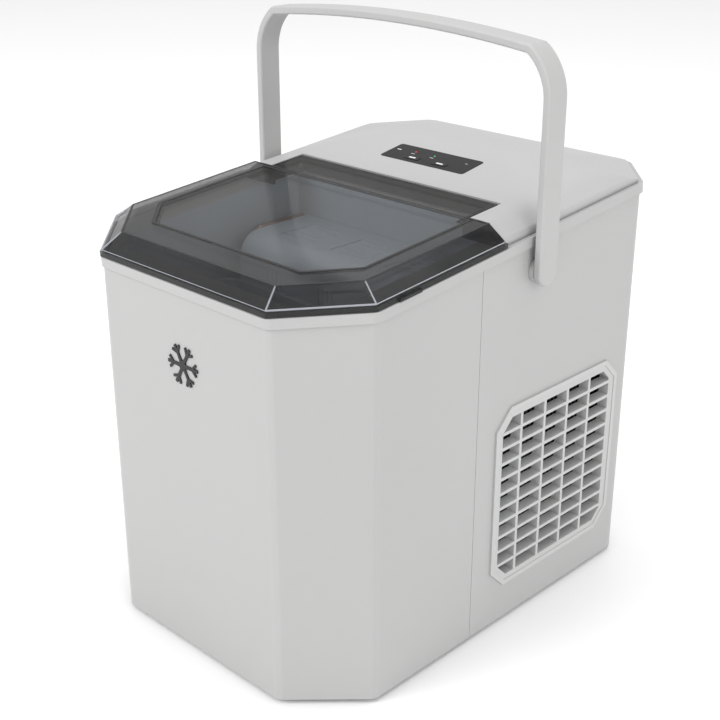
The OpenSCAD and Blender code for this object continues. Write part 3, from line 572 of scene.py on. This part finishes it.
class ICEMAKER_OT_cover(bpy.types.Operator):
    """Builds the domed cover behind the lid, with its notch for the lid's tongue"""

    bl_idname = "icemaker.cover"
    bl_label = "Rear cover"

    def execute(self, context):
        step = sizes().cover_step
        bm = bmesh.new()
        length = COVER_S[1] - COVER_S[0]
        bmesh.ops.create_grid(
            bm, x_segments=round(2 * COVER_W / step), y_segments=round(length / step), size=0.5)
        bmesh.ops.scale(bm, vec=(2 * COVER_W, length, 1), verts=bm.verts)
        bmesh.ops.translate(bm, vec=(0, (COVER_S[0] + COVER_S[1]) / 2, 0), verts=bm.verts)
        # lines exactly on the notch and along the flanks, then the notch and the rear corners away
        rows = [((0, NOTCH_S, 0), (0, 1, 0))]
        lines = (NOTCH_W, COVER_W - 0.9 * MM, COVER_W - 1.7 * MM, COVER_W - 2.6 * MM, COVER_W - 3.6 * MM)
        rows += [((m * x, 0, 0), (1, 0, 0)) for m in (1, -1) for x in lines]
        for at, normal in rows:
            whole = bm.verts[:] + bm.edges[:] + bm.faces[:]
            bmesh.ops.bisect_plane(bm, geom=whole, plane_co=at, plane_no=normal, dist=1e-6)
        inside = [f for f in bm.faces if abs(f.calc_center_median().x) < NOTCH_W
                  and f.calc_center_median().y < NOTCH_S]
        bmesh.ops.delete(bm, geom=inside, context="FACES")
        corner = Vector((COVER_W, COVER_S[1] - REAR_CUT, 0))
        for sign in (1, -1):
            bmesh.ops.bisect_plane(
                bm, geom=bm.verts[:] + bm.edges[:] + bm.faces[:], plane_co=(corner.x * sign, corner.y, 0),
                plane_no=(sign, 1, 0), clear_outer=True, dist=1e-6)
        for v in bm.verts:
            x, s = v.co.x / MM, v.co.y / MM
            diagonal = (corner.x / MM + corner.y / MM - abs(x) - s) / math.sqrt(2)
            v.co.z = cover_height(x, s, diagonal) * MM
        rim = [e for e in bm.edges if e.is_boundary]
        skirt = bmesh.ops.extrude_edge_only(bm, edges=rim)["geom"]
        low = [g for g in skirt if isinstance(g, bmesh.types.BMVert)]
        for v in low:
            v.co.z = 0.1 * MM
        bmesh.ops.remove_doubles(bm, verts=bm.verts, dist=1e-6)
        lip = [e for e in bm.edges if turn(e) > 50 and not e.is_boundary
               and e.calc_length() > 0.5 * MM and min(v.co.z for v in e.verts) > 1 * MM]
        round_over(bm, lip, 0.7 * MM, 3)
        bmesh.ops.recalc_face_normals(bm, faces=bm.faces)
        bmesh.ops.transform(bm, matrix=ON_TOP, verts=bm.verts)
        made = piece("Rear_cover", bm, "cover_grey", "body", "top_cover", smooth=50)
        wall = made.modifiers.new("Wall", "SOLIDIFY")
        wall.thickness, wall.offset = 2.2 * MM, -1
        made.modifiers.move(1, 0)
        return {"FINISHED"}


STRIP_W, STRIP_D = 70 * MM, 22 * MM
KEY_X, KEY_S, KEY_W, KEY_D = 11.5 * MM, 5.8 * MM, 12 * MM, 5 * MM
LAMP_X, LAMP_S = (-16 * MM, 0.0), 14.5 * MM


class ICEMAKER_OT_controls(bpy.types.Operator):
    """Lays the control strip with its keys, lamps and printed marks"""

    bl_idname = "icemaker.controls"
    bl_label = "Control strip"

    def execute(self, context):
        top = 0.30 * MM
        bm = block((-STRIP_W / 2, 0, -1.6 * MM), (STRIP_W / 2, STRIP_D, top), ON_STRIP, 2 * MM, 0.15 * MM)
        piece("Control_strip", bm, "panel_black", "body", node="control_panel")
        keys = (("power_button", "Power_key", -KEY_X), ("select_button", "Select_key", KEY_X))
        for node, name, x in keys:
            low = (x - KEY_W / 2, KEY_S - KEY_D / 2, -2.2 * MM)
            high = (x + KEY_W / 2, KEY_S + KEY_D / 2, 0.55 * MM)
            bm = block(low, high, ON_STRIP, 1 * MM, 0.2 * MM)
            piece(name, bm, "panel_black", BODY_OF[node], node=node)
            # a printed mark on each key
            low = (x - 2.7 * MM, KEY_S - 0.75 * MM, 0.52 * MM)
            high = (x + 2.7 * MM, KEY_S + 0.75 * MM, 0.60 * MM)
            bm = block(low, high, ON_STRIP, 0.3 * MM)
            piece(name + "_print", bm, "print_white", BODY_OF[node])
        for node, name, x in (("led_red", "Red_lamp", LAMP_X[0]), ("led_green", "Green_lamp", LAMP_X[1])):
            bm = bmesh.new()
            bmesh.ops.create_uvsphere(bm, u_segments=20, v_segments=12, radius=0.6 * MM)
            bmesh.ops.scale(bm, vec=(1, 1, 0.5), verts=bm.verts)
            bmesh.ops.translate(bm, vec=(x, LAMP_S, top), verts=bm.verts)
            bmesh.ops.transform(bm, matrix=ON_STRIP, verts=bm.verts)
            piece(name, bm, node, "body", node=node)
        # generic marks beside the lamps
        bm = bmesh.new()
        z = (top - 0.05 * MM, top + 0.06 * MM)
        marks = ((-29.5, 13.2, 3.4, 0.8), (-16, 11.4, 3.0, 0.4), (0, 11.4, 3.0, 0.4), (27, 13.9, 1.8, 0.4))
        for x, s, w, d in marks:
            low = ((x - w / 2) * MM, (s - d / 2) * MM, z[0])
            high = ((x + w / 2) * MM, (s + d / 2) * MM, z[1])
            block(low, high, ON_STRIP, bm=bm)
        piece("Strip_print", bm, "print_white", "body")
        coat("display_board", "board_green")
        return {"FINISHED"}


# Outlines on the sloping top as (x, s) in millimetres: the window's joint, and the lid's flat top, along
# which painted dark lines run.
WINDOW_W, WINDOW_CUT, WINDOW_FRONT, WINDOW_REAR = 86.8, 24, 33, 142.3
WINDOW_LINE = [
    (-WINDOW_W, WINDOW_FRONT + WINDOW_CUT), (-WINDOW_W + WINDOW_CUT, WINDOW_FRONT),
    (WINDOW_W - WINDOW_CUT, WINDOW_FRONT), (WINDOW_W, WINDOW_FRONT + WINDOW_CUT),
    (WINDOW_W, WINDOW_REAR), (-WINDOW_W, WINDOW_REAR),
]


TOP_LINE = [(-98.6, 45.1), (-65.9, 12.5), (65.9, 12.5), (98.6, 45.1), (98.6, 144.8), (-98.6, 144.8)]


def joined(bm, other):
    """Adds another mesh to this one."""
    mesh = bpy.data.meshes.new("part")
    other.to_mesh(mesh)
    other.free()
    bm.from_mesh(mesh)
    bpy.data.meshes.remove(mesh)


def highlight_rod(bm, a, b, radius):
    """A fine rounded rod between two places on the sloping top, in millimetres, as a painted highlight
    along an edge.
    """
    a, b = ON_TOP @ (Vector(a) * MM), ON_TOP @ (Vector(b) * MM)
    run = b - a
    place = Matrix.Translation((a + b) / 2) @ run.to_track_quat("Z", "Y").to_matrix().to_4x4()
    bmesh.ops.create_cone(bm, cap_ends=True, segments=10, radius1=radius * MM, radius2=radius * MM,
                          depth=run.length, matrix=place)


def strip_along(points, half, tall, place):
    """A fine flat strip round a closed line of points in millimetres."""
    bm = bmesh.new()
    points = [Vector(p) for p in points]
    rings = []
    for i, here in enumerate(points):
        before = (here - points[i - 1]).normalized()
        after = (points[(i + 1) % len(points)] - here).normalized()
        normal = Vector((-before.y - after.y, before.x + after.x)).normalized()
        reach = half / MM / max(0.2, normal.dot(Vector((-after.y, after.x))))
        rings.append([bm.verts.new(place @ Vector((*(here + normal * side * reach) * MM, z)))
                      for side, z in ((-1, 0), (-1, tall), (1, tall), (1, 0))])
    for ring, after in zip(rings, rings[1:] + rings[:1]):
        for a in range(4):
            bm.faces.new((ring[a], after[a], after[(a + 1) % 4], ring[(a + 1) % 4]))
    bmesh.ops.recalc_face_normals(bm, faces=bm.faces)
    return bm


class ICEMAKER_OT_lid(bpy.types.Operator):
    """Finishes the smoked lid, its window and its pins"""

    bl_idname = "icemaker.lid"
    bl_label = "Lid"

    def execute(self, context):
        refine("Lid_shell", "lid_shell", "smoked", 0.7 * MM, 3, 25, keep=lambda e: e.calc_length() > 3 * MM)
        refine("Lid_window", "lid_window", "window_clear", 0.4 * MM, 2, 25)
        # thin lines stand in for light bent in the window's joint and at the lid's edges
        place = ON_TOP @ Matrix.Translation((0, 0, LID_TOP + 0.12 * MM))
        # painted shade: dark strips round the window's joint and the lid's flat top
        bm = strip_along(WINDOW_LINE, 0.95 * MM, 0.1 * MM, place)
        joined(bm, strip_along(TOP_LINE, 0.65 * MM, 0.1 * MM, place))
        piece("Lid_painted_dark_lines", bm, "joint_black", BODY_OF["lid_shell"], level=False)
        bm = bmesh.new()
        # painted highlights: light rods along the slope's corners, its top edges and its foot
        foot, crest = 4.2, 12.2
        for m in (-1, 1):
            # up the two corners of the slope, then along its foot
            highlight_rod(bm, (m * 70.8, 0.3, foot), (m * 66.0, 12.3, crest), 0.5)
            highlight_rod(bm, (m * 110.7, 40.2, foot), (m * 98.7, 45.1, crest), 0.45)
            highlight_rod(bm, (m * 70.8, 0.0, foot), (m * 110.9, 40.1, foot), 0.55)
            highlight_rod(bm, (m * 110.9, 40.1, foot), (m * 110.9, 144, foot), 0.35)
        highlight_rod(bm, (-70.8, 0.0, foot), (70.8, 0.0, foot), 0.22)
        piece("Lid_painted_highlights", bm, "ridge_bright", BODY_OF["lid_shell"], level=False)
        refine("Hinge_pins", "hinge_pins", "steel", 0.3 * MM, 2, 50)
        return {"FINISHED"}


class ICEMAKER_OT_handle(bpy.types.Operator):
    """Rounds the handle's strap and its pivots"""

    bl_idname = "icemaker.handle"
    bl_label = "Handle"

    def execute(self, context):
        bm = copy_of("handle")
        square = [e for e in bm.edges if 67 < turn(e) < 113 and e.calc_length() > 0.2 * MM
                  and abs(e.verts[0].co.y - e.verts[1].co.y) < 20 * MM and not bore_edge(e)]
        round_over(bm, square, sizes().handle_radius, 4)
        piece("Handle", bm, "handle_grey", BODY_OF["handle"], node="handle")
        refine("Handle_pivots", "handle_pivots", "handle_grey", 0.3 * MM, 2, 60)
        return {"FINISHED"}


PIVOT = Vector((0, 19.8 * MM, 234 * MM))
BORE_REACH = 4.6 * MM


def bore_edge(edge):
    """An edge of the handle's blind pivot bores."""
    return all((v.co - PIVOT).yz.length < BORE_REACH for v in edge.verts)


class ICEMAKER_OT_grilles(bpy.types.Operator):
    """Rounds the bars, slats and frames of the side grilles"""

    bl_idname = "icemaker.grilles"
    bl_label = "Side grilles"

    def execute(self, context):
        for side in ("right", "left"):
            refine("Grille_" + side, "vent_grille_" + side, "grille_grey", 0.35 * MM, 2, 40,
                   keep=lambda e: e.calc_length() > 1.2 * MM)
        return {"FINISHED"}


class ICEMAKER_OT_tub(bpy.types.Operator):
    """Finishes the tub and everything that stands in it"""

    bl_idname = "icemaker.tub"
    bl_label = "Tub and ice making"

    def execute(self, context):
        bm = copy_of("inner_tub")
        corners = [e for e in bm.edges if upright(e) and 40 < turn(e) < 50 and e.calc_length() > 30 * MM]
        round_over(bm, corners, 4 * MM, 6)
        piece("Inner_tub", bm, "tub_blue", "body", node="inner_tub")
        refine("Ice_basket", "ice_basket", "basket_clear", 0.5 * MM, 2, 40,
               keep=lambda e: e.calc_length() > 8 * MM)
        refine("Evaporator_hood", "evaporator_cover", "tub_blue", 0.5 * MM, 3, 40)
        # three sets of upright ribs on the hood's face
        low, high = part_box("evaporator_cover")
        bm = bmesh.new()
        for middle in (-46, 0, 46):
            for offset in (-6, -2, 2, 6):
                x, top, half = (middle + offset) * MM, high.z - 18 * MM, 0.8 * MM
                block((x - half, low.y - 0.9 * MM, top - 13 * MM), (x + half, low.y + 0.3 * MM, top), bm=bm)
        piece("Hood_ribs", bm, "tub_blue", BODY_OF["evaporator_cover"], level=False)
        refine("Water_tray", "water_tray", "trim_white", 0.3 * MM, 2, 50)
        refine("Ice_pusher", "ice_pusher", "trim_white", 0.3 * MM, 2, 50)
        refine("Freezing_bar", "evaporator", "nickel", 0.5 * MM, 2, 60,
               keep=lambda e: e.calc_length() > 3 * MM)
        refine("Ice_sensors", "ice_sensors", "black_plastic", 0.2 * MM, 2, 60)
        coat("insulation", "foam")
        return {"FINISHED"}


class ICEMAKER_OT_badge(bpy.types.Operator):
    """Rounds the plain crystal badge on the front"""

    bl_idname = "icemaker.badge"
    bl_label = "Badge"

    def execute(self, context):
        refine("Front_badge", "front_emblem", "silver_badge", 0.15 * MM, 2, 50)
        return {"FINISHED"}


class ICEMAKER_OT_base(bpy.types.Operator):
    """Finishes the feet, screws, cord inlet and drain cap"""

    bl_idname = "icemaker.base"
    bl_label = "Feet and fittings"

    def execute(self, context):
        refine("Rubber_feet", "rubber_feet", "rubber", 0.4 * MM, 2, 60)
        refine("Base_screws", "base_screws", "steel", 0.2 * MM, 2, 60)
        refine("Cord_gland", "cord_gland", "rubber", 0.4 * MM, 3, 60)
        refine("Drain_cap", "drain_cap", "rubber", 0.4 * MM, 3, 60)
        refine("Drain_fitting", "drain_fitting", "trim_white", 0.3 * MM, 2, 60)
        return {"FINISHED"}


class ICEMAKER_OT_works(bpy.types.Operator):
    """Finishes the compressor, condenser, fan, pump and boards inside the housing"""

    bl_idname = "icemaker.works"
    bl_label = "Works"

    def execute(self, context):
        for node, finish, width in (
            ("compressor", "black_paint", 1.5), ("fan_impeller", "black_plastic", 0.3),
            ("fan_motor", "steel", 0.8), ("water_pump", "grey_plastic", 0.8),
            ("gear_motor", "grey_plastic", 0.6), ("gas_valve", "steel", 0.8),
            ("filter_drier", "copper", 0.6), ("fan_shroud", "grey_plastic", 0.5),
            ("partition", "steel", 0.3),
        ):
            refine(node.capitalize(), node, finish, width * MM, 3, 50)
        # the condenser's near-black fins are painted shade for the inside seen through the grilles
        for node, finish in (("compressor_mounts", "rubber"), ("condenser", "aluminium"),
                             ("refrigerant_tubes", "copper"), ("pump_hose", "hose_clear"),
                             ("control_board", "board_green")):
            coat(node, finish)
        return {"FINISHED"}


def soft_light(name, at, towards, size, power, colour=(1, 1, 1)):
    light = bpy.data.lights.new(name, "AREA")
    light.shape, light.size, light.energy, light.color = "DISK", size, power, colour
    lamp = bpy.data.objects.new(name, light)
    bpy.context.scene.collection.objects.link(lamp)
    lamp.location = at
    lamp.rotation_euler = (Vector(towards) - Vector(at)).to_track_quat("-Z", "Y").to_euler()


class ICEMAKER_OT_stage(bpy.types.Operator):
    """Sets the floor, the studio lights and the camera"""

    bl_idname = "icemaker.stage"
    bl_label = "Stage"

    def execute(self, context):
        scene = context.scene
        bm = bmesh.new()
        bmesh.ops.create_circle(bm, cap_ends=True, segments=96, radius=12)
        mesh = bpy.data.meshes.new("Floor")
        bm.to_mesh(mesh)
        bm.free()
        floor = bpy.data.objects.new("Floor", mesh)
        scene.collection.objects.link(floor)
        f = Finish("Studio floor")
        grain = f.noise(3, 3)
        mesh.materials.append(f.surface(
            Base_Color=f.blend(grain, (0.94, 0.94, 0.94), (0.96, 0.96, 0.96)), Roughness=grain * 0.1 + 0.6))
        world = bpy.data.worlds.new("Studio")
        scene.world = world
        world.use_nodes = True
        world.node_tree.nodes["Background"].inputs["Color"].default_value = (1, 1, 1, 1)
        world.node_tree.nodes["Background"].inputs["Strength"].default_value = 0.86
        middle = (0, 0, 0.17)
        soft_light("Key", (-0.9, -2.2, 1.9), middle, 1.6, 34)
        soft_light("Fill", (2.4, -0.6, 1.3), middle, 1.8, 16)
        soft_light("Top", (0.1, 0.5, 2.4), middle, 1.4, 14)
        scene.view_settings.view_transform = "Standard"
        back = Vector((math.sin(CAMERA_AZIMUTH) * math.cos(CAMERA_ELEVATION),
                       -math.cos(CAMERA_AZIMUTH) * math.cos(CAMERA_ELEVATION), math.sin(CAMERA_ELEVATION)))
        data = bpy.data.cameras.new("Camera")
        data.lens, data.sensor_width = 64.45, 36
        camera = bpy.data.objects.new("Camera", data)
        scene.collection.objects.link(camera)
        camera.location = CAMERA_AT
        camera.rotation_euler = (-back).to_track_quat("-Z", "Y").to_euler()
        scene.camera = camera
        return {"FINISHED"}


PIECES = (
    ICEMAKER_OT_finishes, ICEMAKER_OT_housing, ICEMAKER_OT_cover, ICEMAKER_OT_controls,
    ICEMAKER_OT_lid, ICEMAKER_OT_handle, ICEMAKER_OT_grilles, ICEMAKER_OT_tub, ICEMAKER_OT_badge,
    ICEMAKER_OT_base, ICEMAKER_OT_works, ICEMAKER_OT_stage,
)


class ICEMAKER_PT_panel(bpy.types.Panel):
    bl_idname = "ICEMAKER_PT_panel"
    bl_label = "Ice maker"
    bl_space_type = "VIEW_3D"
    bl_region_type = "UI"
    bl_category = "Ice maker"

    def draw(self, context):
        for group in (context.scene.icemaker_sizes, context.scene.icemaker_finishes):
            box = self.layout.box()
            for name in group.__annotations__:
                box.prop(group, name)
        for operator in PIECES:
            self.layout.operator(operator.bl_idname)


CLASSES = (IceMakerSizes, IceMakerFinishes, *PIECES, ICEMAKER_PT_panel)


def register():
    for cls in CLASSES:
        bpy.utils.register_class(cls)
    bpy.types.Scene.icemaker_sizes = PointerProperty(type=IceMakerSizes)
    bpy.types.Scene.icemaker_finishes = PointerProperty(type=IceMakerFinishes)


def unregister():
    del bpy.types.Scene.icemaker_finishes
    del bpy.types.Scene.icemaker_sizes
    for cls in reversed(CLASSES):
        bpy.utils.unregister_class(cls)


def main():
    register()
    for operator in PIECES:
        group, name = operator.bl_idname.split(".")
        getattr(getattr(bpy.ops, group), name)()


if __name__ == "__main__":
    main()
